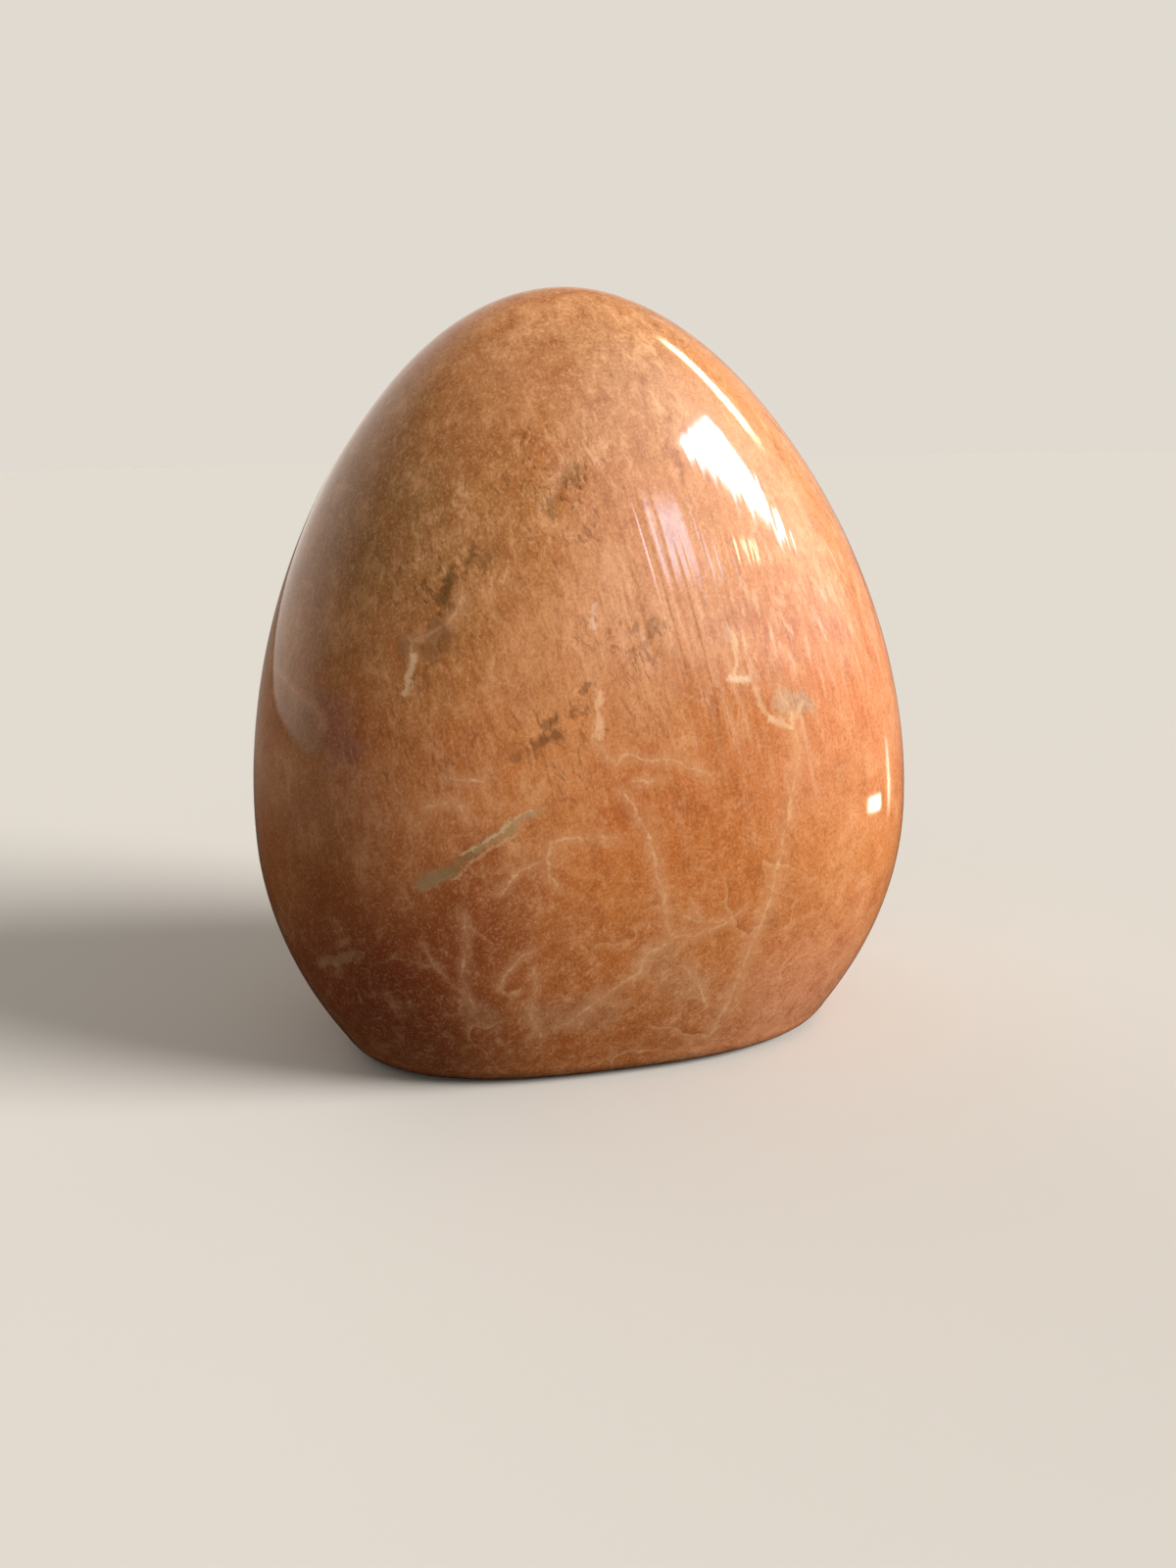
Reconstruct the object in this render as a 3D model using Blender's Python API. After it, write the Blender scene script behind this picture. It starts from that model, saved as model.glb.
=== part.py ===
"""Polished moonstone freeform: one peach feldspar stone that stands on a flat sawn base.

The stone is a tall flattened egg. Its broad face looks along -Y, its tip points along +Z, and
the sawn base lies in the plane Z = 0, with the origin under the middle of the stone.
"""

import math

import bmesh
import bpy
from mathutils import Vector

MM = 0.001

# Driving dimensions, in millimetres
HALF_WIDTH = 38.8
HALF_DEPTH = 25.0
BELLY_HEIGHT = 27.4
TIP_RISE = 59.0
EGG_DROP = 44.4
TIP_LEAN = -1.4
ARRIS_WIDTH = 1.8

# How full the egg is: 2 is a plain ellipse in plan, and more is squarer
BELLY_FULLNESS = 2.57
TIP_FULLNESS = 2.0
END_TAPER = 0.12

# The slow unevenness that grinding by hand leaves, as a share of the local half-width
WAVE_SHARE = 0.008
WAVES_AROUND = 3
WAVE_TURN = 220.0
WAVE_TWIST = 126.0

# Mesh fineness: quads along each side of the starting cube, and steps across the base arris
CELLS = 20
ARRIS_STEPS = 4

# Finish
PEACH = "C0804F"
POLISH_ROUGHNESS = 0.12
SMOOTH_ANGLE = 30.0


def srgb_to_linear(hex_colour):
    """Linear RGBA of an sRGB hex colour."""
    channels = [int(hex_colour[i : i + 2], 16) / 255 for i in (0, 2, 4)]
    linear = [c / 12.92 if c <= 0.04045 else ((c + 0.055) / 1.055) ** 2.4 for c in channels]
    return (*linear, 1.0)


def clear_scene():
    """Removes what the scene starts with."""
    for item in list(bpy.data.objects):
        bpy.data.objects.remove(item, do_unlink=True)


def base_polar_angle():
    """Angle from the tip's direction at which the egg meets the plane of the base."""
    return math.acos(-BELLY_HEIGHT / EGG_DROP)


def egg_direction(cube_point):
    """Polar angle from the tip, and turn around the upright axis, of a point of the cube.

    Above the belly the cube is blown up to a sphere. Below it the rows stay level, so that the
    last row runs exactly around the base.
    """
    a, b, c = (math.tan(v * math.pi / 4) for v in cube_point)
    turn = math.atan2(b, a)
    if cube_point.z < 0:
        below_belly = -cube_point.z * (base_polar_angle() - math.pi / 2)
        return math.pi / 2 + below_belly, turn
    return math.acos(c / Vector((a, b, c)).length), turn


def plan_reach(turn, fullness):
    """Distance from the middle to a unit superellipse, in the direction of turn."""
    across = abs(math.cos(turn)) ** fullness
    deep = abs(math.sin(turn)) ** fullness
    return (across + deep) ** (-1 / fullness)


def egg_point(polar, turn):
    """Point of the stone's surface, in millimetres."""
    height = math.cos(polar)
    ring = math.sin(polar)
    crown = max(height, 0.0)
    fullness = BELLY_FULLNESS + (TIP_FULLNESS - BELLY_FULLNESS) * crown**2
    phase = WAVES_AROUND * turn + math.radians(WAVE_TURN + WAVE_TWIST * height)
    wave = 1 + WAVE_SHARE * ring * math.sin(phase)
    size = ring * (1 - END_TAPER * height**2) * plan_reach(turn, fullness) * wave
    rise = height * (TIP_RISE if height > 0 else EGG_DROP)
    return Vector((
        HALF_WIDTH * size * math.cos(turn) + TIP_LEAN * (rise / TIP_RISE) ** 2,
        HALF_DEPTH * size * math.sin(turn),
        BELLY_HEIGHT + rise,
    ))


def open_cube_underneath(bm):
    """Turns the cube's underside into one face, which becomes the sawn base."""
    under = [face for face in bm.faces if face.normal.z < -0.5]
    bmesh.ops.dissolve_faces(bm, faces=under, use_verts=False)


def blow_up_to_egg(bm):
    """Moves every point of the subdivided cube onto the stone's surface."""
    for vertex in bm.verts:
        vertex.co = egg_point(*egg_direction(vertex.co))
    for vertex in base_face(bm).verts:
        vertex.co.z = 0.0


def base_face(bm):
    """The one large face underneath."""
    return max(bm.faces, key=lambda face: len(face.verts))


def soften_base_arris(bm):
    """Rounds the edge between the polished side and the sawn base."""
    bmesh.ops.bevel(
        bm,
        geom=list(base_face(bm).edges),
        offset=ARRIS_WIDTH,
        offset_type="OFFSET",
        segments=ARRIS_STEPS,
        profile=0.5,
        affect="EDGES",
    )


def centre_over_origin(bm):
    """Moves the stone so that the origin is under the middle of its width and depth."""
    xs = [vertex.co.x for vertex in bm.verts]
    ys = [vertex.co.y for vertex in bm.verts]
    middle = Vector(((min(xs) + max(xs)) / 2, (min(ys) + max(ys)) / 2, 0.0))
    bmesh.ops.translate(bm, verts=bm.verts, vec=-middle)


def moonstone_material():
    """Peach feldspar with a high polish."""
    material = bpy.data.materials.new("peach_moonstone")
    material.use_nodes = True
    shader = material.node_tree.nodes["Principled BSDF"]
    shader.inputs["Base Color"].default_value = srgb_to_linear(PEACH)
    shader.inputs["Roughness"].default_value = POLISH_ROUGHNESS
    shader.inputs["Metallic"].default_value = 0.0
    return material


def build_moonstone():
    """Models the whole stone as one closed solid."""
    bm = bmesh.new()
    bmesh.ops.create_cube(bm, size=2.0)
    bmesh.ops.subdivide_edges(bm, edges=list(bm.edges), cuts=CELLS - 1, use_grid_fill=True)
    bm.normal_update()
    open_cube_underneath(bm)
    blow_up_to_egg(bm)
    bm.normal_update()
    soften_base_arris(bm)
    centre_over_origin(bm)
    bmesh.ops.scale(bm, verts=bm.verts, vec=Vector((MM, MM, MM)))
    bmesh.ops.recalc_face_normals(bm, faces=bm.faces)

    mesh = bpy.data.meshes.new("moonstone")
    bm.to_mesh(mesh)
    bm.free()
    mesh.shade_smooth()
    mesh.set_sharp_from_angle(angle=math.radians(SMOOTH_ANGLE))
    mesh.materials.append(moonstone_material())
    stone = bpy.data.objects.new("moonstone", mesh)
    bpy.context.scene.collection.objects.link(stone)
    return stone


clear_scene()
build_moonstone()
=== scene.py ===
"""Polished moonstone freeform: the look of the stone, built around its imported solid."""

import math
from collections import namedtuple

import bpy
from bpy.props import FloatProperty, FloatVectorProperty, IntProperty, PointerProperty
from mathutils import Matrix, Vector
from mathutils.kdtree import KDTree


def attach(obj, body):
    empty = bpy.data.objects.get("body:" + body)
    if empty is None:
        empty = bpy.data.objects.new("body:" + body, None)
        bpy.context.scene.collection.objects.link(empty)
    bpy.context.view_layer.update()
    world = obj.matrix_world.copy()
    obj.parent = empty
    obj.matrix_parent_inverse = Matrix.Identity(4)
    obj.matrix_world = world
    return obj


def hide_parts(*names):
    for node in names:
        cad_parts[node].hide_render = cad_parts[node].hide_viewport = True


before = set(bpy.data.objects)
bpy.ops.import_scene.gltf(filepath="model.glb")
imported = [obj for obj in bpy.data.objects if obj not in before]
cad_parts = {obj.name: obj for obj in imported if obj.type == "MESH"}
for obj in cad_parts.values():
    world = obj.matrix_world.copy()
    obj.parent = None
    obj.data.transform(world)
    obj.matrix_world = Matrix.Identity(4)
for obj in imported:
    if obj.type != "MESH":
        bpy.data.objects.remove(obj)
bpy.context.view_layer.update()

bl_info = {
    "name": "Polished Moonstone",
    "version": (1, 0, 0),
    "blender": (4, 5, 0),
    "location": "3D View > Sidebar > Moonstone",
    "description": "Builds a polished peach moonstone freeform and a plain studio around it",
    "category": "Object",
}

MM = 0.001
NODE = "moonstone"
PIECE = "polished_moonstone"

# Markings are placed as (across, up) in millimetres, seen from the front, from the middle of
# the base. A healed crack is a row of points, and its number is how strongly it shows.
FACE_CRACKS = (
    ("long healed line", 1.0, (
        (16.6, 45.4), (18.4, 41.8), (19.2, 38.7), (18.4, 34.0), (16.1, 21.9), (10.4, 4.1),
    )),
    ("branch from the foot", 1.0, ((1.6, 15.8), (2.0, 17.1), (5.1, 18.6), (9.1, 19.2))),
    ("tip of the branch", 0.8, ((9.1, 19.2), (11.0, 19.7), (12.7, 21.1))),
    ("short line over the branch", 0.75, ((6.2, 21.2), (7.7, 20.4), (11.4, 20.1))),
    ("foot of the branch", 1.0, ((-6.4, 8.5), (-3.0, 11.8), (1.7, 14.9), (1.6, 15.8))),
    ("right side of the cell", 0.85, ((-0.5, 35.3), (0.9, 33.4), (2.4, 29.9), (4.8, 19.1))),
    ("roof of the cell", 1.0, ((-8.4, 29.0), (-7.8, 30.4), (-5.1, 31.2), (-1.5, 30.6))),
    ("left end of the roof", 0.7, ((-13.1, 25.6), (-11.4, 27.4), (-8.4, 29.0))),
    ("left side of the cell", 0.7, ((-8.4, 29.0), (-8.3, 27.4), (-7.3, 25.7))),
    ("lower fleck line", 0.9, ((-20.1, 34.7), (-18.2, 35.3), (-16.7, 34.7), (-16.2, 33.3))),
    ("upper fleck line", 0.9, ((-18.0, 37.8), (-16.6, 37.4), (-14.3, 37.5))),
    ("arc under the heart", 0.9, ((-1.1, 38.6), (0.1, 39.2), (2.8, 38.3), (5.0, 38.6), (8.8, 36.5))),
    ("slant left of the heart", 0.7, ((-3.1, 40.5), (-1.1, 38.6))),
    ("nick under the arc", 0.8, ((0.9, 36.5), (3.7, 36.4))),
    ("shoulder crack", 0.75, ((-20.9, 49.0), (-20.6, 51.2), (-16.8, 52.7), (-15.4, 55.4))),
    ("left foot line", 0.7, ((-17.1, 22.8), (-16.9, 20.6), (-17.5, 15.5), (-16.2, 11.3))),
    ("second foot line", 0.7, ((-13.6, 14.5), (-12.8, 16.3), (-10.2, 18.7))),
    ("third foot line", 0.6, ((-10.0, 16.1), (-9.6, 14.2), (-10.4, 10.8), (-9.1, 7.2))),
    ("thin line on the left", 0.4, ((-21.6, 19.9), (-19.8, 16.5))),
    ("right foot line", 0.6, ((6.5, 14.8), (8.0, 13.1), (9.7, 8.7))),
    # The step on the left rim is drawn where a painted reflection of a room edge ends
    ("step on the left rim", 0.7, ((-34.7, 47.4), (-31.8, 44.7), (-30.7, 44.2), (-30.2, 42.5))),
)
BACK_CRACKS = (
    ("back long line", 0.9, ((-14.0, 58.0), (-9.0, 44.0), (-9.6, 28.0), (-14.0, 12.0))),
    ("back branch", 0.8, ((-9.4, 36.0), (-2.0, 32.0), (6.0, 33.5), (13.0, 29.0))),
    ("back cell side", 0.6, ((6.0, 33.5), (9.0, 23.0), (5.0, 14.0))),
    ("back brow line", 0.6, ((2.0, 66.0), (8.0, 61.0), (15.0, 60.0))),
    ("back foot line", 0.6, ((14.0, 16.0), (20.0, 10.0))),
    ("back nick", 0.7, ((-24.0, 34.0), (-19.5, 36.0))),
)

# Streaks and spots: start and end, half-width, softness of the edge, colour and strength.
# Patches lie under the grain of the stone. Flecks and pits, and the grey vein, lie over it.
FACE_PATCHES = (
    ("grey patch on the flank", (17.6, 43.5), (19.8, 43.0), 0.5, 1.4, "BFA084", 0.8),
    ("foot streak on the left", (-32.0, 15.8), (-28.4, 17.8), 0.25, 0.7, "C79B74", 0.6),
    ("bloom by the toe line", (-8.4, 9.6), (-2.0, 10.4), 1.0, 2.8, "C2946E", 0.45),
    ("bloom at the middle foot", (-16.4, 11.0), (-14.2, 9.8), 0.5, 1.6, "C0916A", 0.4),
    ("bloom under the branch", (3.4, 16.4), (7.4, 12.0), 1.0, 2.6, "CC9A72", 0.45),
    ("red spot on the flank", (10.9, 51.5), (13.4, 52.8), 0.7, 1.6, "B0653C", 0.5),
    ("second red spot", (22.7, 50.5), (24.9, 49.8), 0.6, 1.5, "B5693F", 0.45),
    # Painted reflection of a room edge on the left rim: a paler tan zone and a purple tint beside
    # the step line
    ("tan scale on the left rim", (-32.6, 43.6), (-31.6, 41.0), 1.2, 0.7, "B08A62", 0.5),
    ("purple edge of the scale", (-29.4, 44.0), (-28.2, 40.2), 0.9, 2.4, "A06C62", 0.5),
)
FACE_FLECKS = (
    ("left end of the grey vein", (-20.9, 26.5), (-18.9, 27.7), 0.35, 0.85, "9E8A66", 0.66),
    ("neck of the grey vein", (-18.9, 27.7), (-15.4, 30.3), 0.05, 0.7, "887450", 0.6),
    ("right end of the grey vein", (-15.4, 30.5), (-11.6, 32.6), 0.15, 0.75, "A68E66", 0.62),
    ("tip of the grey vein", (-11.6, 32.6), (-8.9, 34.3), 0.0, 0.5, "B09C78", 0.7),
    ("upper edge of the vein", (-17.2, 29.6), (-9.4, 34.4), 0.0, 0.22, "DDBB90", 0.55),
    ("lower edge of the vein", (-18.2, 27.1), (-10.4, 32.8), 0.0, 0.22, "D2AC80", 0.5),
    ("pale lens", (-20.7, 49.6), (-21.4, 46.0), 0.05, 0.5, "E6BF96", 0.75),
    # Painted glint: the pale bar is a small reflection painted in as a pale inclusion
    ("pale bar", (-2.6, 45.8), (-2.7, 41.2), 0.05, 0.6, "F2C094", 0.68),
    ("white fleck", (-2.6, 54.2), (-2.7, 52.4), 0.05, 0.4, "DFB99E", 0.6),
    ("upright of the pale cross", (11.9, 51.2), (12.2, 46.3), 0.05, 0.5, "EDC298", 0.55),
    ("bar of the pale cross", (11.7, 46.2), (13.2, 46.1), 0.05, 0.6, "F2D2AE", 0.68),
    ("left edge of the grey patch", (13.9, 45.3), (15.8, 41.9), 0.0, 0.4, "E8BE92", 0.45),
    ("foot of the grey patch", (15.8, 41.9), (18.2, 40.7), 0.0, 0.5, "EBC69C", 0.55),
    ("right edge of the grey patch", (18.2, 40.7), (19.5, 43.0), 0.0, 0.4, "E8BE92", 0.45),
)
# Pits: dark marks over dents pressed into the skin. Their dark is partly the stone's own and partly
# painted shade in the hollows; the marks under the shoulder crack and over the lens are painted
# shadow.
FACE_PITS = (
    ("pit by the heart", (2.9, 51.0), (3.4, 52.4), 0.15, 0.5, "74452A", 0.47),
    ("its left neighbour", (1.2, 51.2), (1.9, 52.0), 0.05, 0.4, "7A4A2C", 0.43),
    ("its lower neighbour", (0.7, 49.6), (2.6, 50.4), 0.1, 0.5, "80502F", 0.40),
    ("its right neighbour", (3.2, 48.3), (3.7, 49.2), 0.1, 0.6, "86543A", 0.32),
    ("pit on the middle line", (-4.1, 46.0), (-3.5, 46.9), 0.05, 0.4, "6B4426", 0.50),
    ("second pit on that line", (-5.4, 43.4), (-4.9, 44.2), 0.1, 0.45, "74492A", 0.43),
    ("third pit on that line", (-4.2, 43.6), (-3.7, 44.2), 0.05, 0.4, "74492A", 0.40),
    ("pit left of the heart", (-8.0, 42.4), (-7.2, 43.2), 0.1, 0.5, "683E22", 0.54),
    ("wide pit under it", (-8.6, 40.8), (-6.9, 41.6), 0.2, 0.8, "683E22", 0.66),
    ("last pit of that row", (-11.4, 39.2), (-10.6, 40.0), 0.1, 0.5, "7A4D2C", 0.40),
    ("right brow mark", (-3.4, 65.9), (-3.0, 67.6), 0.05, 0.45, "7B5C38", 0.43),
    ("middle brow mark", (-4.2, 66.4), (-3.7, 68.2), 0.05, 0.45, "7B5C38", 0.43),
    ("left brow mark", (-5.2, 65.2), (-4.9, 66.8), 0.05, 0.45, "7B5C38", 0.43),
    ("low brow mark", (-6.4, 63.0), (-5.8, 64.4), 0.1, 0.45, "735430", 0.43),
    ("high mark on the shoulder", (-13.4, 58.2), (-12.7, 59.4), 0.05, 0.5, "6B4E2C", 0.40),
    ("its left neighbour on the shoulder", (-14.8, 58.4), (-14.2, 59.6), 0.05, 0.6, "60421F", 0.6),
    ("long mark on the shoulder", (-17.4, 55.0), (-16.4, 57.2), 0.15, 0.7, "5C3E1C", 0.72),
    ("mark over the shoulder crack", (-18.6, 52.8), (-17.8, 53.6), 0.1, 0.5, "6B4A28", 0.40),
    # Painted shadow under the shoulder crack, as below a small step
    ("mark under the shoulder crack", (-18.9, 50.4), (-17.7, 51.6), 0.7, 1.2, "6E4426", 0.5),
    ("shadow over the lens", (-21.8, 50.0), (-21.3, 51.2), 0.1, 0.6, "735636", 0.43),
)
BACK_PATCHES = (
    ("back grey patch", (6.0, 48.0), (14.0, 44.0), 0.5, 0.7, "A88E64", 0.8),
    ("back bloom", (-6.0, 18.0), (2.0, 12.0), 1.6, 3.0, "C99A70", 0.5),
    ("back red spot", (-16.0, 27.0), (-13.0, 25.0), 0.8, 1.7, "A95F38", 0.5),
)
BACK_FLECKS = (
    ("back pale lens", (-20.0, 46.0), (-20.6, 42.8), 0.25, 0.5, "E2B98E", 0.8),
    ("back pale bar", (10.0, 62.0), (10.6, 58.8), 0.25, 0.45, "E6AE7C", 0.7),
)
BACK_PITS = (
    ("back pit", (-2.0, 55.0), (-1.4, 52.6), 0.3, 0.5, "643E20", 0.8),
    ("second back pit", (16.0, 36.0), (18.0, 33.8), 0.3, 0.7, "6B442A", 0.7),
)
# The back is drawn on the same sheet as the front, this far to the right of it, in millimetres.
BACK_SHEET = 200.0

# Broad tints: middle (across, deep, up), radius at which the tint is gone, colour, strength
TINTS = (
    ("olive shoulder", (-22.0, -14.0, 62.0), 30.0, "8C683C", 0.8),
    ("tan brow", (2.0, -10.0, 80.0), 24.0, "B28660", 0.7),
    ("pink flank", (27.0, -16.0, 42.0), 24.0, "DC8C64", 0.75),
    ("peach brow on the right", (20.0, -10.0, 66.0), 20.0, "DD9A6A", 0.6),
    ("rosy middle", (0.0, -23.0, 51.0), 17.0, "DC9C6E", 0.7),
    ("amber heart", (6.0, -24.0, 30.0), 20.0, "C86F30", 0.55),
    ("red foot on the left", (-25.0, -18.0, 13.0), 26.0, "843214", 0.9),
    ("russet under the vein", (-15.0, -22.0, 24.0), 13.0, "863812", 0.75),
    ("brown cheek on the left", (-28.0, -18.0, 34.0), 20.0, "985A30", 0.5),
    ("russet foot", (0.0, -20.0, 2.0), 22.0, "B0602F", 0.5),
    ("pink foot on the right", (22.0, -16.0, 8.0), 20.0, "D69272", 0.7),
    ("olive back", (20.0, 20.0, 58.0), 28.0, "8E6A40", 0.6),
    ("pink back", (-16.0, 22.0, 34.0), 24.0, "D48458", 0.6),
    ("red back foot", (18.0, 18.0, 10.0), 24.0, "964A26", 0.55),
)

# Where the small dark dashes gather: middle (across, deep, up), radius, strength
DASH_PLACES = (
    ((-5.0, -18.0, 65.0), 11.0, 0.68),
    ((-18.0, -19.0, 55.0), 12.0, 0.68),
    ((2.0, -22.5, 50.0), 10.0, 0.60),
    ((-8.0, -24.0, 41.0), 9.0, 0.60),
    ((-20.0, -22.0, 40.0), 11.0, 0.52),
    ((-22.0, -20.0, 24.0), 10.0, 0.38),
    ((8.0, 20.0, 56.0), 14.0, 0.60),
    ((-14.0, 23.0, 38.0), 14.0, 0.60),
    ((34.0, 0.0, 40.0), 14.0, 0.45),
    ((-34.0, 4.0, 30.0), 14.0, 0.45),
)

# Studio, in metres and degrees. A bearing of 0 is in front of the broad face and 90 is to its
# right; heights are above the horizon, both seen from the middle of the stone.
CAMERA_PLACE = (-0.0267, -0.1413, 0.0704)
CAMERA_BEARING = 11.01
CAMERA_DOWN = 15.89
CAMERA_ROLL = -0.95
CAMERA_LENS = 28.0
STONE_MIDDLE = (0.0, 0.0, 0.045)

# The nearest and the farthest that the camera sees
CAMERA_SEES = (0.01, 20.0)

# Soft lights: bearing, height, angle across, colour
KEY = (65.0, 27.0, 26.0, "FFFAF4")
FILL = (-150.0, 15.0, 60.0, "FFF4EA")

# Cards that only the polish sees: bearing, height and distance of the middle, colour, radiance,
# and each side as the direction it faces in degrees, its reach and its softness in millimetres
CARDS = (
    ("main_softbox", 62.6, 37.9, 0.617, "EFF1FF", 30.0, (
        (90.0, 122.0, 10.0), (0.0, 98.0, 12.0), (227.0, 58.0, 46.0), (180.0, 140.0, 20.0),
    )),
    ("warm_strip", 103.7, 47.5, 0.623, "FFEAC8", 28.0, (
        (-30.0, 50.0, 20.0), (150.0, 22.0, 20.0), (60.0, 130.0, 80.0), (240.0, 165.0, 100.0),
    )),
    ("cool_strip", 25.5, 30.8, 0.621, "C6DAFF", 8.5, (
        (0.0, 60.0, 30.0), (180.0, 48.0, 30.0), (90.0, 92.0, 60.0), (270.0, 104.0, 60.0),
    )),
    ("warm_slats", 49.1, 27.5, 0.627, "FFEFC8", 20.0, (
        (0.0, 32.0, 10.0), (180.0, 24.0, 10.0), (90.0, 26.0, 10.0), (270.0, 24.0, 10.0),
    )),
    ("low_spot", 76.4, -17.9, 0.095, "FFF3DC", 26.0, (
        (0.0, 9.0, 5.0), (180.0, 9.0, 5.0), (90.0, 2.6, 1.4), (270.0, 2.6, 1.4),
    )),
    ("low_strip", 87.9, -14.9, 0.0917, "FFEFD8", 6.0, (
        (0.0, 3.0, 2.0), (180.0, 3.0, 2.0), (90.0, 12.0, 8.0), (270.0, 12.0, 8.0),
    )),
)
CARD_WIDTH = 0.36

# Cards nearer than this are small ones
NEAR_CARD = 0.3
NEAR_CARD_WIDTH = 0.072

# The floor lies this far under the base. Its colours are the one that sends light up, the one
# that the polish sees close to the stone, and the one that it sees far away.
FLOOR_GAP = 0.05 * MM
FLOOR_IN_LIGHT = "4A4642"
FLOOR_IN_POLISH = "3E3A38"
FAR_FLOOR_IN_POLISH = "7C7872"

# Between these distances from the stone, the floor that the polish sees grows paler
FLOOR_DARK_TO = 0.09
FLOOR_PALE_FROM = 0.24

# The room around: its colour, and how bright it is to the eye and to dull surfaces
ROOM_COLOUR = "E0DAD1"
ROOM_TO_EYE = 1.0
ROOM_TO_DULL = 0.55

# What the polish sees of the room: how bright it is all round, and each broad glow's bearing,
# height, the angles at which it is full and gone, how far up it fades in, and radiance
ROOM_RADIANCE = 0.12
GLOWS = (
    ("glow behind on the left", -140.0, 2.0, 22.0, 70.0, 1.0, 1.3),
    ("glow behind on the right", 140.0, 0.0, 20.0, 50.0, 1.0, 0.5),
    ("glow in front on the right", 57.0, 24.0, 16.0, 54.0, 16.0, 4.3),
)

# Grain runs from 0 to 1 around its middle. A flake ends where its own grain is at the middle, with a
# step this sharp and a rim this thin, and has painted shade this far inside and painted light this
# far outside.
GRAIN_MIDDLE = 0.5
FLAKE_BLUR = 0.002
FLAKE_RIM = 0.008
FLAKE_INSIDE = 0.05
FLAKE_OUTSIDE = 0.04

# How high the ribs stand away from their own place, as a share of the highest
RIBS_ELSEWHERE = 0.06

# Working on the mesh, in metres: corners closer than this are one, the sight line to a point
# of the skin starts this far out, and a face that points down by this much is the base
MERGE_DISTANCE = 0.01 * MM
SIGHT_START = 0.1
BASE_NORMAL = -0.999

# Sockets of the colour Mix node
FACTOR, BELOW, ABOVE, MIXED = 0, 6, 7, 2

# A place on the stone, in millimetres: as it is, pushed about broadly, gently and finely, and
# the last of them laid out flat for the markings
Places = namedtuple("Places", "plain cloudy wavy jagged sheet")


def linear(hex_colour):
    """Linear RGBA of an sRGB hex colour."""
    channels = [int(hex_colour[i : i + 2], 16) / 255 for i in (0, 2, 4)]
    shades = [c / 12.92 if c <= 0.04045 else ((c + 0.055) / 1.055) ** 2.4 for c in channels]
    return (*shades, 1.0)


# What a user would change


class StoneLook(bpy.types.PropertyGroup):
    """What a user would change on the stone."""

    levels: IntProperty(
        name="Smoothing Levels",
        description="How many times the skin's mesh is divided",
        default=2,
        min=1,
        max=3,
    )
    body_colour: FloatVectorProperty(
        name="Body Colour",
        description="Colour of the feldspar between its grains",
        default=linear("C87E44")[:3],
        size=3,
        subtype="COLOR",
        min=0.0,
        max=1.0,
    )
    polish: FloatProperty(
        name="Polish",
        description="Roughness of the buffed surface",
        default=0.08,
        min=0.0,
        max=1.0,
        subtype="FACTOR",
    )
    refraction: FloatProperty(
        name="Refraction",
        description="Refractive index of orthoclase feldspar",
        default=1.53,
        min=1.0,
        max=2.5,
    )
    flat_height: FloatProperty(
        name="Flat Height",
        description="Height under which the base and its arris stay as they were sawn",
        default=2.5 * MM,
        min=0.0,
        unit="LENGTH",
    )
    wave_length: FloatProperty(
        name="Wave Length",
        description="Size of the slow waves that grinding by hand leaves",
        default=11.0 * MM,
        min=1.0 * MM,
        unit="LENGTH",
    )
    wave_depth: FloatProperty(
        name="Wave Depth",
        description="Depth of those waves",
        default=0.08 * MM,
        min=0.0,
        precision=6,
        unit="LENGTH",
    )
    pit_depth: FloatProperty(
        name="Pit Depth",
        description="How deep the small open pits are",
        default=0.05 * MM,
        min=0.0,
        precision=6,
        unit="LENGTH",
    )
    pit_width: FloatProperty(
        name="Pit Width",
        description="Width of the small open pits",
        default=0.45 * MM,
        min=0.0,
        precision=6,
        unit="LENGTH",
    )
    pit_reach: FloatProperty(
        name="Pit Reach",
        description="Distance around each pit over which the skin is divided finer",
        default=2.4 * MM,
        min=0.0,
        precision=6,
        unit="LENGTH",
    )
    rib_height: FloatProperty(
        name="Rib Height",
        description="How far the lamellae stand proud of the polish",
        default=0.026 * MM,
        min=0.0,
        precision=6,
        unit="LENGTH",
    )


class StageLook(bpy.types.PropertyGroup):
    """What a user would change on the studio."""

    floor_colour: FloatVectorProperty(
        name="Floor Colour",
        description="Colour of the plain floor",
        default=linear("CBC9C5")[:3],
        size=3,
        subtype="COLOR",
        min=0.0,
        max=1.0,
    )
    floor_radius: FloatProperty(
        name="Floor Radius",
        description="Radius of the round floor",
        default=4.0,
        min=0.5,
        unit="LENGTH",
    )
    key_strength: FloatProperty(
        name="Key Strength",
        description="Strength of the soft main light, in watts per square metre",
        default=5.4,
        min=0.0,
    )
    fill_strength: FloatProperty(
        name="Fill Strength",
        description="Strength of the soft light from behind, in watts per square metre",
        default=1.0,
        min=0.0,
    )


# The stone's material


def add_node(tree, kind, inputs=None, output=0, **settings):
    """Adds a node with its settings and links, and returns one of its outputs."""
    node = tree.nodes.new(kind)
    for name, value in settings.items():
        setattr(node, name, value)
    for key, value in (inputs or {}).items():
        if isinstance(value, bpy.types.NodeSocket):
            tree.links.new(value, node.inputs[key])
        else:
            node.inputs[key].default_value = value
    return node.outputs[output]


def soft_step(tree, value, low, high, strength):
    """From 0 where value is at low to strength where it is at high. Low may be above high."""
    inputs = {"Value": value, "From Min": low, "From Max": high, "To Min": 0.0, "To Max": strength}
    return add_node(
        tree, "ShaderNodeMapRange", inputs, interpolation_type="SMOOTHSTEP", clamp=False
    )


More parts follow.
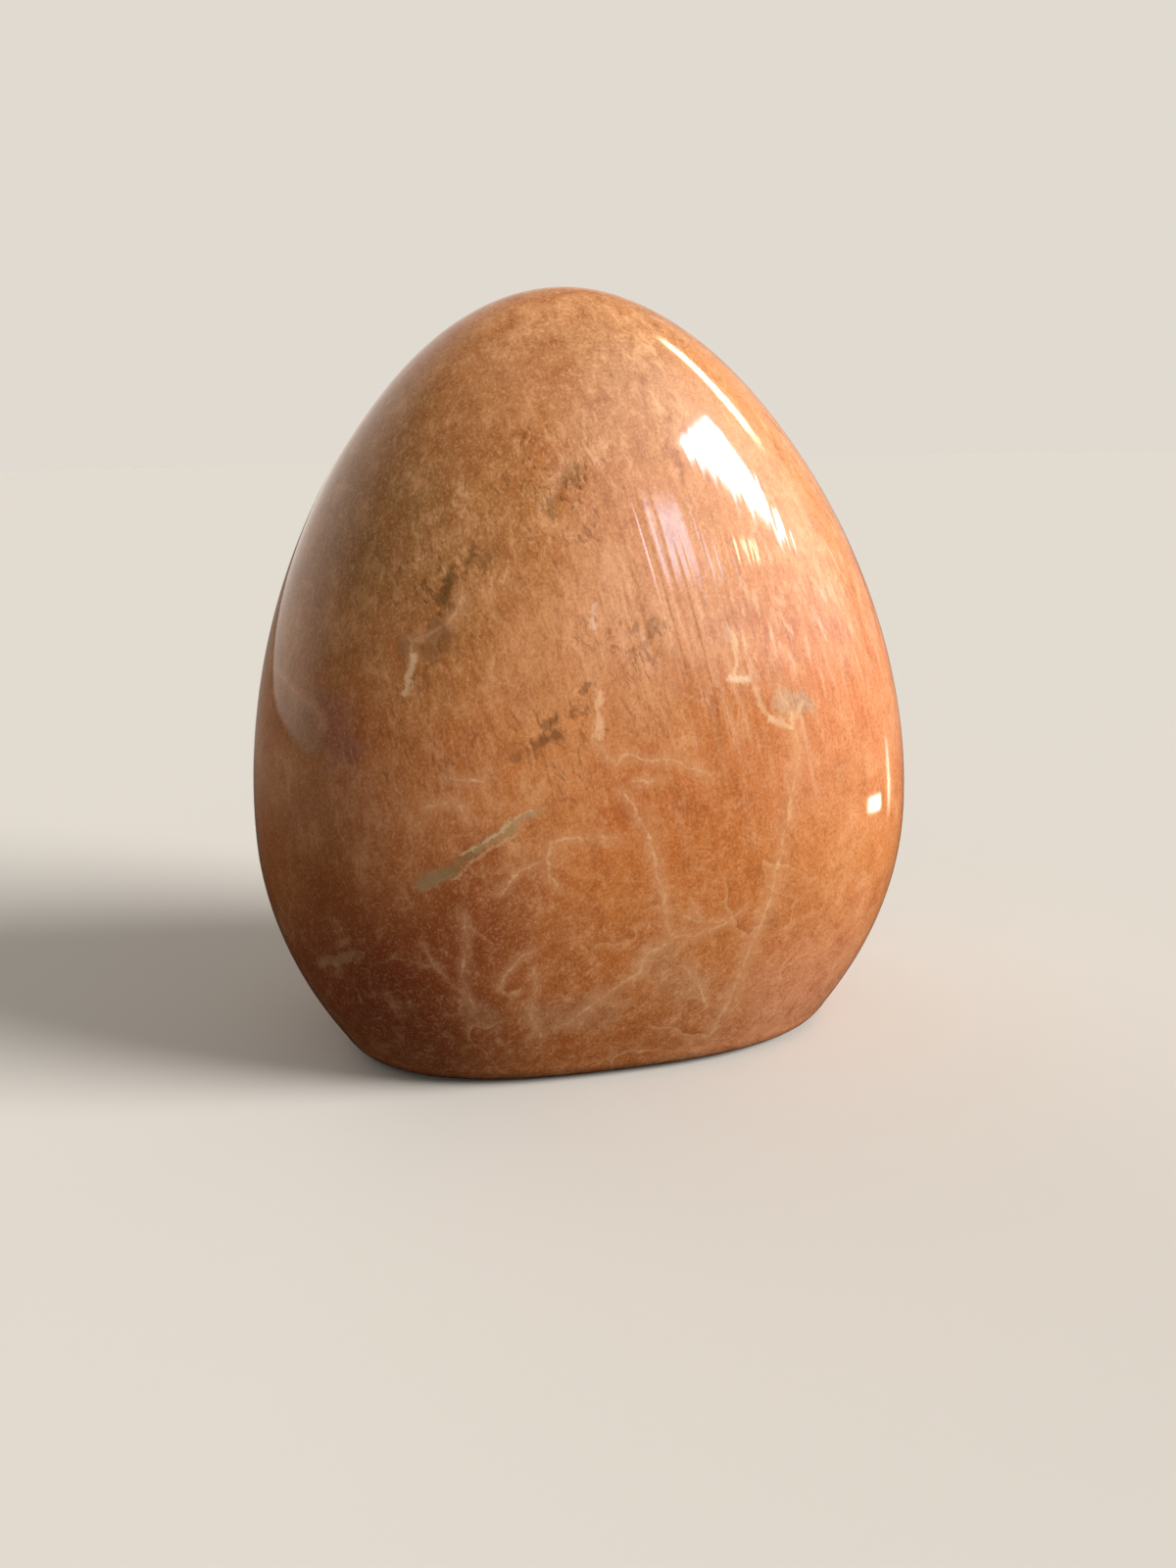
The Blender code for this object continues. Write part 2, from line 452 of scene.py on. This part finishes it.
def grain(tree, place, size, tilt, detail, roughness=0.8):
    """Grain from 0 to 1 whose largest grains measure size, in mm, leaning by tilt degrees."""
    turned = add_node(
        tree,
        "ShaderNodeMapping",
        {"Vector": place, "Rotation": (0.0, math.radians(tilt), 0.0), "Scale": size},
        vector_type="TEXTURE",
    )
    return add_node(
        tree,
        "ShaderNodeTexNoise",
        {"Vector": turned, "Scale": 1.0, "Detail": detail, "Roughness": roughness},
    )


def near(tree, place, middle, radius, strength):
    """Strength at the middle, falling to 0 at the radius, in millimetres."""
    distance = add_node(
        tree, "ShaderNodeVectorMath", {0: place, 1: middle}, output="Value", operation="DISTANCE"
    )
    return soft_step(tree, distance, radius, 0.0, strength)


def rumpled(tree, place, size, reach):
    """The place, pushed about by up to half of reach over a distance of size, in millimetres."""
    push = add_node(
        tree,
        "ShaderNodeTexNoise",
        {"Vector": place, "Scale": 1.0 / size, "Detail": 2.0, "Roughness": 0.6},
        output="Color",
    )
    centred = add_node(
        tree, "ShaderNodeVectorMath", {0: push, 1: (0.5, 0.5, 0.5)}, operation="SUBTRACT"
    )
    scaled = add_node(
        tree, "ShaderNodeVectorMath", {0: centred, "Scale": reach}, operation="SCALE"
    )
    return add_node(tree, "ShaderNodeVectorMath", {0: place, 1: scaled}, operation="ADD")


def marking_sheet(tree, place):
    """Across and up of a place on the stone, with the back laid out beside the front."""
    parts = tree.nodes.new("ShaderNodeSeparateXYZ")
    tree.links.new(place, parts.inputs[0])
    behind = add_node(
        tree, "ShaderNodeMath", {0: parts.outputs["Y"], 1: 0.0}, operation="GREATER_THAN"
    )
    across = add_node(
        tree,
        "ShaderNodeMath",
        {0: behind, 1: BACK_SHEET, 2: parts.outputs["X"]},
        operation="MULTIPLY_ADD",
    )
    return add_node(
        tree, "ShaderNodeCombineXYZ", {"X": across, "Y": 0.0, "Z": parts.outputs["Z"]}
    )


def line_distance(tree, sheet, start, end):
    """Distance in millimetres to the straight line from start to end on the marking sheet."""
    run = Vector((end[0] - start[0], 0.0, end[1] - start[1]))
    origin = (start[0], 0.0, start[1])
    offset = add_node(tree, "ShaderNodeVectorMath", {0: sheet, 1: origin}, operation="SUBTRACT")
    along = add_node(
        tree,
        "ShaderNodeVectorMath",
        {0: offset, 1: tuple(run / run.length_squared)},
        output="Value",
        operation="DOT_PRODUCT",
    )
    share = add_node(tree, "ShaderNodeClamp", {"Value": along})
    nearest = add_node(
        tree, "ShaderNodeVectorMath", {0: tuple(run), "Scale": share}, operation="SCALE"
    )
    return add_node(
        tree,
        "ShaderNodeVectorMath",
        {0: offset, 1: nearest},
        output="Value",
        operation="DISTANCE",
    )


def on_back(point):
    """A point of the back, moved to where the back lies on the marking sheet."""
    return point[0] + BACK_SHEET, point[1]


def crack_distance(tree, sheet):
    """Distance in millimetres to the nearest healed crack, longer for the weaker ones."""
    rows = [(strength, points) for _, strength, points in FACE_CRACKS]
    rows += [(strength, [on_back(p) for p in points]) for _, strength, points in BACK_CRACKS]
    nearest = None
    for strength, points in rows:
        for start, end in zip(points, points[1:]):
            distance = line_distance(tree, sheet, start, end)
            weighed = add_node(
                tree, "ShaderNodeMath", {0: distance, 1: 1.0 / strength}, operation="MULTIPLY"
            )
            if nearest is None:
                nearest = weighed
            else:
                nearest = add_node(
                    tree, "ShaderNodeMath", {0: nearest, 1: weighed}, operation="MINIMUM"
                )
    return nearest


def lay(tree, colour, mask, tint):
    """Lays a tint over a colour where the mask is 1."""
    return add_node(
        tree,
        "ShaderNodeMix",
        {FACTOR: mask, BELOW: colour, ABOVE: linear(tint)},
        output=MIXED,
        data_type="RGBA",
    )


def lay_grain(tree, colour, noise, deep, pale, strength, spread=0.24):
    """Lays a deep tint where the grain is under its middle, and a pale one where it is over."""
    under = soft_step(tree, noise, GRAIN_MIDDLE, GRAIN_MIDDLE - spread, strength)
    colour = lay(tree, colour, under, deep)
    over = soft_step(tree, noise, GRAIN_MIDDLE, GRAIN_MIDDLE + spread, strength)
    return lay(tree, colour, over, pale)


def lay_streaks(tree, colour, sheet, ragged, tear, face_rows, back_rows):
    """Lays streaks and spots whose edges are torn by up to half of tear, in millimetres."""
    torn = add_node(
        tree, "ShaderNodeMath", {0: ragged, 1: tear, 2: -tear / 2}, operation="MULTIPLY_ADD"
    )
    rows = [row[1:] for row in face_rows]
    rows += [(on_back(row[1]), on_back(row[2]), *row[3:]) for row in back_rows]
    for start, end, half_width, softness, tint, strength in rows:
        distance = line_distance(tree, sheet, start, end)
        edge = add_node(tree, "ShaderNodeMath", {0: distance, 1: torn}, operation="ADD")
        mask = soft_step(tree, edge, half_width + softness, half_width, strength)
        colour = lay(tree, colour, mask, tint)
    return colour


def stone_places(tree):
    """Where a point of the stone is, in millimetres: as it is, and pushed about in three ways."""
    metres = add_node(tree, "ShaderNodeTexCoord", output="Object")
    plain = add_node(
        tree, "ShaderNodeVectorMath", {0: metres, "Scale": 1.0 / MM}, operation="SCALE"
    )
    cloudy = rumpled(tree, plain, size=8.0, reach=14.0)
    wavy = rumpled(tree, plain, size=4.0, reach=1.8)
    jagged = rumpled(tree, rumpled(tree, plain, size=2.2, reach=1.5), size=0.5, reach=0.45)
    return Places(plain, cloudy, wavy, jagged, marking_sheet(tree, jagged))


def lay_clouds(tree, colour, places):
    """Lays clouds of deeper and paler peach, with the broad tints over them."""
    clouds = grain(tree, places.cloudy, (12.0, 12.0, 15.0), tilt=10.0, detail=3.0, roughness=0.6)
    colour = lay_grain(tree, colour, clouds, deep="B35C24", pale="DC9A62", strength=0.6)
    for _, middle, radius, tint, strength in TINTS:
        colour = lay(tree, colour, near(tree, places.cloudy, middle, radius, strength), tint)
    return colour


def lay_mottle(tree, colour, places):
    """Lays a mottle all over, 3 mm wide and 5 mm tall at its largest."""
    mottle = grain(tree, places.wavy, (3.0, 3.0, 5.0), tilt=-10.0, detail=5.0, roughness=0.7)
    return lay_grain(tree, colour, mottle, deep="94491F", pale="E9AE7E", strength=0.5)


def lay_upright_grain(tree, colour, places):
    """Lays streaks 1.2 mm wide, in patches, and fibres 0.45 mm wide on the upper part.

    Both stand upright and lean a little to the left at the top.
    """
    upper = near(tree, places.plain, (0.0, 0.0, 62.0), radius=64.0, strength=0.75)
    patches = grain(tree, places.plain, (11.0, 11.0, 16.0), tilt=0.0, detail=2.0)
    patches = soft_step(tree, patches, 0.3, 0.6, upper)
    streaks = grain(tree, places.wavy, (1.2, 1.2, 8.0), tilt=-11.0, detail=3.0, roughness=0.65)
    colour = lay_grain(tree, colour, streaks, deep="8C4820", pale="EFB688", strength=patches)
    fibres = grain(tree, places.wavy, (0.45, 0.45, 3.0), tilt=-12.0, detail=3.0, roughness=0.7)
    upper = near(tree, places.plain, (0.0, 0.0, 58.0), radius=66.0, strength=0.42)
    return lay_grain(tree, colour, fibres, deep="8A441E", pale="F0BC90", strength=upper)


def lay_crystals(tree, colour, places):
    """Lays crystals 1.8 mm long that slant across the lower part, and fine specks all over."""
    lower = near(tree, places.cloudy, (0.0, 0.0, 8.0), radius=58.0, strength=0.95)
    crystals = grain(tree, places.jagged, (1.0, 1.0, 1.8), tilt=50.0, detail=5.0, roughness=0.85)
    colour = lay_grain(
        tree, colour, crystals, deep="924619", pale="EFB688", strength=lower, spread=0.2
    )
    specks = grain(tree, places.plain, (0.28, 0.28, 0.34), tilt=0.0, detail=1.0)
    return lay_grain(tree, colour, specks, deep="8A441E", pale="E6AE80", strength=0.3)


def lay_painted_sheen(tree, colour, places):
    """Lays a painted reflection of a pleated curtain: pale streaks up to 12 mm long that hang down
    the right flank.
    """
    flank = near(tree, places.cloudy, (19.0, -18.0, 50.0), radius=24.0, strength=0.62)
    sheen_streaks = grain(tree, places.plain, (0.7, 0.7, 12.0), tilt=-12.0, detail=2.0, roughness=0.6)
    return lay_grain(
        tree, colour, sheen_streaks, deep="B85A30", pale="F4CDB0", strength=flank, spread=0.3
    )


def lay_flakes(tree, colour, places, broken):
    """Lays thin flakes about 10 mm across, in patches and mostly towards the foot.

    Each has a pale broken edge, with painted shade (a deeper tint) just inside the edge and painted
    light (a paler tint) just outside it, as on a small step.
    """
    foot = near(tree, places.plain, (2.0, 0.0, 8.0), radius=60.0, strength=0.65)
    patches = grain(tree, places.plain, (11.0, 11.0, 11.0), tilt=0.0, detail=2.0)
    patches = soft_step(tree, patches, 0.45, 0.6, foot)
    flakes = grain(tree, places.jagged, (11.0, 11.0, 8.0), tilt=35.0, detail=2.0, roughness=0.35)

    # Painted shade just inside each flake's edge and painted light just outside it, as on a small
    # step
    under, over = GRAIN_MIDDLE - FLAKE_BLUR, GRAIN_MIDDLE + FLAKE_BLUR
    inside = soft_step(tree, flakes, under, over, patches)
    inside = soft_step(tree, flakes, GRAIN_MIDDLE + FLAKE_INSIDE, GRAIN_MIDDLE, inside)
    colour = lay(tree, colour, inside, "A65E30")
    outside = soft_step(tree, flakes, over, under, patches)
    outside = soft_step(tree, flakes, GRAIN_MIDDLE - FLAKE_OUTSIDE, GRAIN_MIDDLE, outside)
    colour = lay(tree, colour, outside, "E4AC7C")

    rim = add_node(tree, "ShaderNodeMath", {0: flakes, 1: GRAIN_MIDDLE}, operation="SUBTRACT")
    rim = add_node(tree, "ShaderNodeMath", {0: rim}, operation="ABSOLUTE")
    rim = soft_step(tree, rim, FLAKE_RIM, 0.0, patches)
    rim = soft_step(tree, broken, 0.42, 0.6, rim)
    return lay(tree, colour, rim, "E8BC92")


def lay_dashes(tree, colour, places):
    """Lays the dark dashes between the cleavage plates, 0.5 mm wide and 2.6 mm long."""
    strongest = None
    for middle, radius, strength in DASH_PLACES:
        mask = near(tree, places.cloudy, middle, radius, strength)
        if strongest is None:
            strongest = mask
        else:
            strongest = add_node(
                tree, "ShaderNodeMath", {0: strongest, 1: mask}, operation="MAXIMUM"
            )
    dashes = grain(tree, places.wavy, (0.55, 0.55, 2.6), tilt=-20.0, detail=2.0, roughness=0.6)
    return lay(tree, colour, soft_step(tree, dashes, 0.56, 0.66, strongest), "683C1C")


def lay_cracks(tree, colour, sheet, ragged, broken):
    """Lays the healed cracks: broken pale lines, each in a soft pale band 1.7 mm to a side."""
    distance = crack_distance(tree, sheet)
    colour = lay(tree, colour, soft_step(tree, distance, 1.7, 0.1, 0.27), "E2AC80")
    gaps = soft_step(tree, broken, 0.34, 0.54, 0.74)
    line = add_node(
        tree, "ShaderNodeMath", {0: ragged, 1: 1.3, 2: distance}, operation="MULTIPLY_ADD"
    )
    return lay(tree, colour, soft_step(tree, line, 0.92, 0.5, gaps), "E8BA8C")


def ribbed_normal(tree, place, rib_height):
    """The shading of lamellae 0.8 mm wide that the buffing has left proud, mostly near one spot."""
    ribs = grain(tree, place, (0.8, 16.0, 26.0), tilt=-13.0, detail=0.0)
    closeness = near(tree, place, (11.0, -20.5, 53.5), radius=21.0, strength=1.0)
    highest = rib_height / MM
    proud = add_node(
        tree,
        "ShaderNodeMath",
        {0: closeness, 1: highest, 2: RIBS_ELSEWHERE * highest},
        operation="MULTIPLY_ADD",
    )
    height = soft_step(tree, ribs, 0.34, 0.66, proud)
    return add_node(tree, "ShaderNodeBump", {"Height": height, "Distance": MM}, output="Normal")


def feldspar_material(look):
    """Peach orthoclase feldspar, ground and buffed to a gloss."""
    material = bpy.data.materials.new("polished_peach_feldspar")
    material.use_nodes = True
    tree = material.node_tree
    shader = tree.nodes["Principled BSDF"]

    # Grinding and buffing give the eye an orange-tan stone with cloudy tints, a fine upright
    # grain, dark dashes between its cleavage plates and pale healed cracks, under a clear
    # mirror-like polish.
    places = stone_places(tree)
    colour = lay_clouds(tree, (*look.body_colour, 1.0), places)
    ragged = grain(tree, places.plain, (1.4, 1.4, 1.8), tilt=-10.0, detail=5.0)
    colour = lay_streaks(tree, colour, places.sheet, ragged, 3.4, FACE_PATCHES, BACK_PATCHES)
    colour = lay_mottle(tree, colour, places)
    colour = lay_upright_grain(tree, colour, places)
    colour = lay_crystals(tree, colour, places)
    # Painted sheen: a curtain's reflection streaked down the right flank
    colour = lay_painted_sheen(tree, colour, places)
    broken = grain(tree, places.plain, (2.0, 2.0, 2.0), tilt=0.0, detail=4.0)
    colour = lay_flakes(tree, colour, places, broken)
    colour = lay_dashes(tree, colour, places)
    colour = lay_cracks(tree, colour, places.sheet, ragged, broken)
    colour = lay_streaks(tree, colour, places.sheet, ragged, 2.0, FACE_FLECKS, BACK_FLECKS)
    # Dark pits: partly the stone's own colour, partly painted shade in their hollows
    colour = lay_streaks(tree, colour, places.sheet, ragged, 2.0, FACE_PITS, BACK_PITS)

    tree.links.new(colour, shader.inputs["Base Color"])
    normal = ribbed_normal(tree, places.plain, look.rib_height)
    tree.links.new(normal, shader.inputs["Normal"])
    shader.inputs["IOR"].default_value = look.refraction
    shader.inputs["Roughness"].default_value = look.polish
    shader.inputs["Metallic"].default_value = 0.0
    return material


# The stone's form


def select_only(target):
    """Leaves one object selected and active."""
    bpy.ops.object.select_all(action="DESELECT")
    target.select_set(True)
    bpy.context.view_layer.objects.active = target


def apply_modifiers(target):
    """Applies every modifier of an object."""
    for name in [modifier.name for modifier in target.modifiers]:
        bpy.ops.object.modifier_apply(modifier=name)


def select_faces(mesh, wanted):
    """Selects just the faces for which wanted is true. Edit mode is off."""
    mesh.vertices.foreach_set("select", [False] * len(mesh.vertices))
    mesh.edges.foreach_set("select", [False] * len(mesh.edges))
    mesh.polygons.foreach_set("select", [bool(wanted(face)) for face in mesh.polygons])


def smooth_stone(look):
    """Copies the solid and grinds its facets away into one smooth closed skin."""
    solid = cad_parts[NODE]
    stone = bpy.data.objects.new(PIECE, solid.data.copy())
    stone.data.name = PIECE
    stone.data.materials.clear()
    bpy.context.scene.collection.objects.link(stone)
    select_only(stone)
    bpy.ops.object.mode_set(mode="EDIT")
    bpy.ops.mesh.select_mode(type="FACE")
    bpy.ops.mesh.select_all(action="SELECT")
    bpy.ops.mesh.remove_doubles(threshold=MERGE_DISTANCE)
    bpy.ops.mesh.tris_convert_to_quads()
    bpy.ops.object.mode_set(mode="OBJECT")

    # The sawn base becomes one face again
    select_faces(stone.data, lambda face: face.normal.z < BASE_NORMAL)
    bpy.ops.object.mode_set(mode="EDIT")
    bpy.ops.mesh.dissolve_faces()
    bpy.ops.object.mode_set(mode="OBJECT")

    rounder = stone.modifiers.new("rounder", "SUBSURF")
    rounder.levels = look.levels
    rounder.render_levels = look.levels
    apply_modifiers(stone)
    return stone


def grind_unevenly(stone, look):
    """Takes off the slow unevenness that a hand-held wheel leaves on the sides."""
    above_arris = [v.index for v in stone.data.vertices if v.co.z > look.flat_height]
    stone.vertex_groups.new(name="ground_by_hand").add(above_arris, 1.0, "REPLACE")
    clouds = bpy.data.textures.new("wheel_marks", "CLOUDS")
    clouds.noise_scale = look.wave_length
    clouds.noise_depth = 1
    wheel = stone.modifiers.new("wheel", "DISPLACE")
    wheel.texture = clouds
    wheel.texture_coords = "LOCAL"
    wheel.vertex_group = "ground_by_hand"
    wheel.mid_level = 1.0
    wheel.strength = look.wave_depth
    apply_modifiers(stone)
    stone.vertex_groups.clear()


def surface_point(stone, across, up, side):
    """The skin's point and normal at a place in millimetres, from the front or the back."""
    start = Vector((across * MM, side * SIGHT_START, up * MM))
    found, place, normal, _ = stone.ray_cast(start, Vector((0.0, -side, 0.0)))
    if not found:
        raise RuntimeError(f"no skin at {across}, {up}")
    return place, normal


def cut_pits(stone, look):
    """Presses the small open pits into the skin, which is divided finer around them."""
    pits = [(row[1], row[2], -1.0) for row in FACE_PITS]
    pits += [(row[1], row[2], 1.0) for row in BACK_PITS]
    ends = [
        (surface_point(stone, *start, side), surface_point(stone, *end, side))
        for start, end, side in pits
    ]
    middles = [(start[0] + end[0]) / 2 for start, end in ends]
    select_faces(
        stone.data,
        lambda face: any((face.center - m).length < look.pit_reach for m in middles),
    )
    bpy.ops.object.mode_set(mode="EDIT")
    bpy.ops.mesh.subdivide(number_cuts=1, smoothness=1.0)
    bpy.ops.object.mode_set(mode="OBJECT")

    finder = KDTree(len(stone.data.vertices))
    for vertex in stone.data.vertices:
        finder.insert(vertex.co, vertex.index)
    finder.balance()
    for (start, normal), (end, _) in ends:
        run = end - start
        select_faces(stone.data, lambda face: False)
        for place, index, _ in finder.find_range((start + end) / 2, look.pit_reach):
            share = min(max((place - start).dot(run) / run.length_squared, 0.0), 1.0)
            if (place - start - share * run).length < look.pit_width:
                stone.data.vertices[index].select = True
        bpy.ops.object.mode_set(mode="EDIT")
        bpy.ops.mesh.select_mode(type="VERT")
        bpy.ops.transform.translate(
            value=-look.pit_depth * normal,
            use_proportional_edit=True,
            proportional_edit_falloff="SMOOTH",
            proportional_size=look.pit_width * 2,
        )
        bpy.ops.object.mode_set(mode="OBJECT")


class MOONSTONE_OT_add_stone(bpy.types.Operator):
    """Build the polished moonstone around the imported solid"""

    bl_idname = "moonstone.add_stone"
    bl_label = "Add Polished Moonstone"

    def execute(self, context):
        look = context.scene.moonstone_look
        stone = smooth_stone(look)
        grind_unevenly(stone, look)
        cut_pits(stone, look)
        bpy.ops.object.shade_smooth()
        stone.data.materials.append(feldspar_material(look))
        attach(stone, "root")
        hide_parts(NODE)
        return {"FINISHED"}


# The studio


def toward(bearing, height):
    """The direction with that bearing and height."""
    turn, rise = math.radians(bearing), math.radians(height)
    return Vector((
        math.sin(turn) * math.cos(rise), -math.cos(turn) * math.cos(rise), math.sin(rise)
    ))


def add_floor(look):
    """A wide round floor under the stone, pale to the eye and dark to the stone's polish."""
    bpy.ops.object.select_all(action="DESELECT")
    bpy.ops.mesh.primitive_circle_add(
        vertices=96, radius=look.floor_radius, fill_type="NGON", location=(0.0, 0.0, -FLOOR_GAP)
    )
    floor = bpy.context.active_object
    floor.name = "floor"

    # Matt paint, which gives the eye an even pale ground with no shine
    material = bpy.data.materials.new("matt_floor")
    material.use_nodes = True
    tree = material.node_tree
    shader = tree.nodes["Principled BSDF"]
    glossy = add_node(tree, "ShaderNodeLightPath", output="Is Glossy Ray")
    seen = add_node(tree, "ShaderNodeLightPath", output="Is Camera Ray")
    away = add_node(
        tree,
        "ShaderNodeVectorMath",
        {0: add_node(tree, "ShaderNodeTexCoord", output="Object")},
        output="Value",
        operation="LENGTH",
    )
    far = soft_step(tree, away, FLOOR_DARK_TO, FLOOR_PALE_FROM, glossy)
    colour = lay(tree, linear(FLOOR_IN_LIGHT), glossy, FLOOR_IN_POLISH)
    colour = lay(tree, colour, far, FAR_FLOOR_IN_POLISH)
    colour = add_node(
        tree,
        "ShaderNodeMix",
        {FACTOR: seen, BELOW: colour, ABOVE: (*look.floor_colour, 1.0)},
        output=MIXED,
        data_type="RGBA",
    )
    tree.links.new(colour, shader.inputs["Base Color"])
    shader.inputs["Roughness"].default_value = 1.0
    shader.inputs["Specular IOR Level"].default_value = 0.0
    floor.data.materials.append(material)


def add_soft_light(name, light, strength):
    """A large even light from far away, which the polish doesn't see."""
    bearing, height, across, colour = light
    direction = toward(bearing, height)
    bpy.ops.object.light_add(
        type="SUN", location=direction, rotation=direction.to_track_quat("Z", "Y").to_euler()
    )
    lamp = bpy.context.active_object
    lamp.name = name
    lamp.data.energy = strength
    lamp.data.angle = math.radians(across)
    lamp.data.color = linear(colour)[:3]
    lamp.visible_glossy = False


def card_material(name, colour, radiance, sides):
    """A glow that fades out at each side of the card."""
    # A lit white sheet, of which the eye gets only the bright shape that the polish throws back
    material = bpy.data.materials.new(name)
    material.use_nodes = True
    tree = material.node_tree
    tree.nodes.remove(tree.nodes["Principled BSDF"])
    place = add_node(tree, "ShaderNodeTexCoord", output="Object")
    strength = radiance
    for facing, reach, softness in sides:
        turn = math.radians(facing)
        distance = add_node(
            tree,
            "ShaderNodeVectorMath",
            {0: place, 1: (math.cos(turn) / MM, math.sin(turn) / MM, 0.0)},
            output="Value",
            operation="DOT_PRODUCT",
        )
        strength = soft_step(tree, distance, reach, reach - softness, strength)
    glow = add_node(tree, "ShaderNodeEmission", {"Color": linear(colour), "Strength": strength})
    clear = add_node(tree, "ShaderNodeBsdfTransparent")
    both = add_node(tree, "ShaderNodeAddShader", {0: glow, 1: clear})
    tree.links.new(both, tree.nodes["Material Output"].inputs["Surface"])
    return material


def add_card(name, bearing, height, away, colour, radiance, sides):
    """A glowing card that only the polish sees."""
    direction = toward(bearing, height)
    bpy.ops.object.select_all(action="DESELECT")
    bpy.ops.mesh.primitive_plane_add(
        size=CARD_WIDTH if away > NEAR_CARD else NEAR_CARD_WIDTH,
        location=Vector(STONE_MIDDLE) + away * direction,
        rotation=direction.to_track_quat("Z", "Y").to_euler(),
    )
    card = bpy.context.active_object
    card.name = name
    card.data.materials.append(card_material(name, colour, radiance, sides))
    for ray in ("camera", "diffuse", "transmission", "volume_scatter", "shadow"):
        setattr(card, "visible_" + ray, False)


def add_camera():
    """The camera, a hand's width in front of the broad face and a little above it."""
    turn = (math.radians(90.0 - CAMERA_DOWN), 0.0, math.radians(-CAMERA_BEARING))
    bpy.ops.object.camera_add(location=CAMERA_PLACE, rotation=turn)
    camera = bpy.context.active_object
    camera.name = "camera"
    camera.rotation_euler.rotate_axis("Z", math.radians(CAMERA_ROLL))
    camera.data.lens = CAMERA_LENS
    camera.data.clip_start, camera.data.clip_end = CAMERA_SEES
    bpy.context.scene.camera = camera


def set_world():
    """A pale room to the eye. The polish sees a dim room with a few broad soft glows."""
    world = bpy.data.worlds.new("room")
    bpy.context.scene.world = world
    world.use_nodes = True
    tree = world.node_tree
    background = tree.nodes["Background"]
    direction = add_node(tree, "ShaderNodeTexCoord", output="Generated")
    room = ROOM_RADIANCE
    parts = tree.nodes.new("ShaderNodeSeparateXYZ")
    tree.links.new(direction, parts.inputs[0])
    for _, bearing, height, inner, outer, rise, radiance in GLOWS:
        closeness = add_node(
            tree,
            "ShaderNodeVectorMath",
            {0: direction, 1: toward(bearing, height)},
            output="Value",
            operation="DOT_PRODUCT",
        )
        rim, core = math.cos(math.radians(outer)), math.cos(math.radians(inner))
        above = soft_step(tree, parts.outputs["Z"], 0.0, math.sin(math.radians(rise)), radiance)
        glow = soft_step(tree, closeness, rim, core, above)
        room = add_node(tree, "ShaderNodeMath", {0: room, 1: glow}, operation="ADD")
    glossy = add_node(tree, "ShaderNodeLightPath", output="Is Glossy Ray")
    seen = add_node(tree, "ShaderNodeLightPath", output="Is Camera Ray")
    strength = add_node(
        tree, "ShaderNodeMix", {0: glossy, 2: ROOM_TO_DULL, 3: room}, data_type="FLOAT"
    )
    strength = add_node(
        tree, "ShaderNodeMix", {0: seen, 2: strength, 3: ROOM_TO_EYE}, data_type="FLOAT"
    )
    background.inputs["Color"].default_value = linear(ROOM_COLOUR)
    tree.links.new(strength, background.inputs["Strength"])


class MOONSTONE_OT_set_stage(bpy.types.Operator):
    """Lay the floor, hang the lights and place the camera"""

    bl_idname = "moonstone.set_stage"
    bl_label = "Set the Studio"

    def execute(self, context):
        look = context.scene.moonstone_stage
        add_floor(look)
        add_soft_light("key", KEY, look.key_strength)
        add_soft_light("fill", FILL, look.fill_strength)
        for card in CARDS:
            add_card(*card)
        set_world()
        add_camera()
        context.scene.view_settings.view_transform = "Standard"
        return {"FINISHED"}


# The panel, and the steps in order


class MOONSTONE_PT_panel(bpy.types.Panel):
    """Lists the stone and its studio in the sidebar"""

    bl_label = "Moonstone"
    bl_space_type = "VIEW_3D"
    bl_region_type = "UI"
    bl_category = "Moonstone"

    def draw(self, context):
        for settings in (context.scene.moonstone_look, context.scene.moonstone_stage):
            box = self.layout.box()
            for name in settings.__annotations__:
                box.prop(settings, name)
        for operator in (MOONSTONE_OT_add_stone, MOONSTONE_OT_set_stage):
            self.layout.operator(operator.bl_idname)


CLASSES = (
    StoneLook,
    StageLook,
    MOONSTONE_OT_add_stone,
    MOONSTONE_OT_set_stage,
    MOONSTONE_PT_panel,
)


def register():
    """Registers the classes and hangs the settings on the scene."""
    for item in CLASSES:
        bpy.utils.register_class(item)
    bpy.types.Scene.moonstone_look = PointerProperty(type=StoneLook)
    bpy.types.Scene.moonstone_stage = PointerProperty(type=StageLook)


def unregister():
    """Takes the settings and the classes away again."""
    del bpy.types.Scene.moonstone_stage
    del bpy.types.Scene.moonstone_look
    for item in reversed(CLASSES):
        bpy.utils.unregister_class(item)


def main():
    """Builds the stone and its studio."""
    register()
    bpy.ops.moonstone.add_stone()
    bpy.ops.moonstone.set_stage()


if __name__ == "__main__":
    main()
